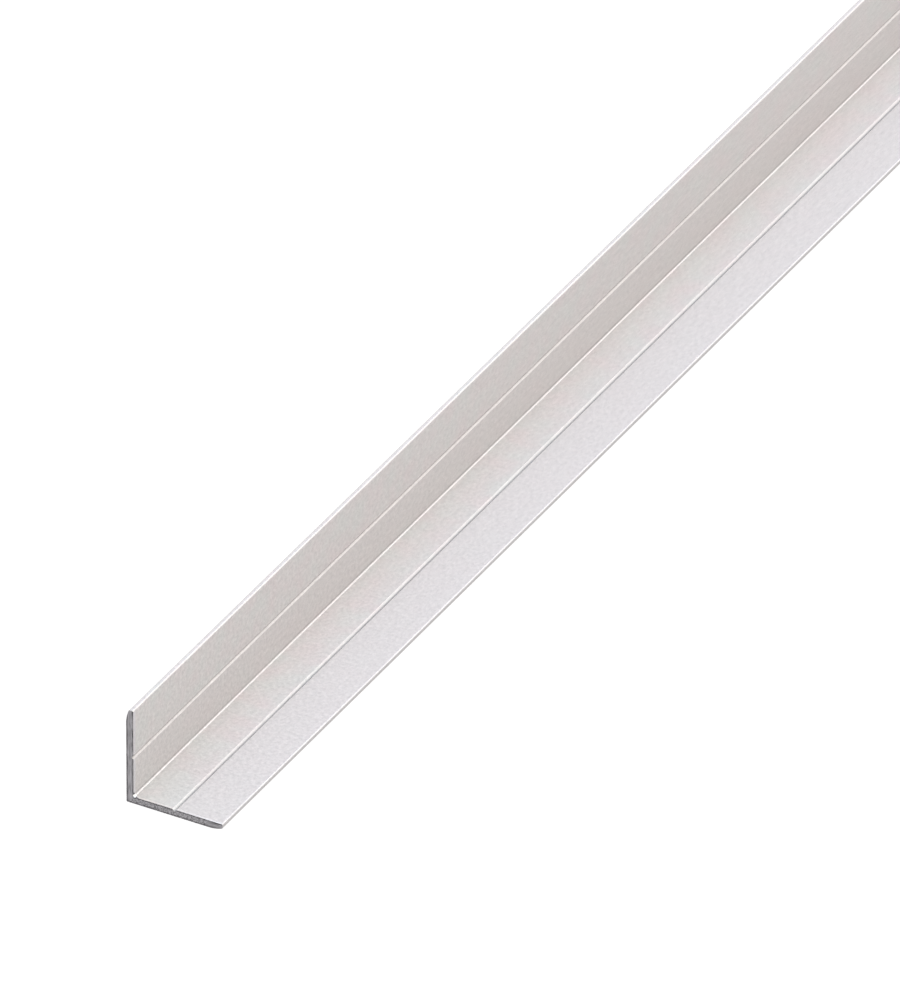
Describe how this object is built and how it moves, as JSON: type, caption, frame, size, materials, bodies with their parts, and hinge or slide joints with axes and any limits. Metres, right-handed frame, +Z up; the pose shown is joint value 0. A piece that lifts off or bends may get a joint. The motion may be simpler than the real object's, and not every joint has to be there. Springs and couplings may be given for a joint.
{
  "type": "aluminium angle section",
  "caption": "Equal-leg aluminium angle bar with a V-shaped drill line along the middle of each inner face and eased outer leg edges.",
  "frame": {"origin": "on the flat leg's outer face, under the middle of the section's box, at mid length", "axes": "+X runs out along the flat leg, away from the heel; +Y runs along the bar; +Z runs up the standing leg"},
  "size_m": [0.02, 1, 0.02],
  "materials": {
    "anodised_aluminium": "matte silver anodised faces, bare saw-cut ends"
  },
  "bodies": {
    "root": {"angle_bar": "anodised_aluminium"}
  },
  "joints": []
}
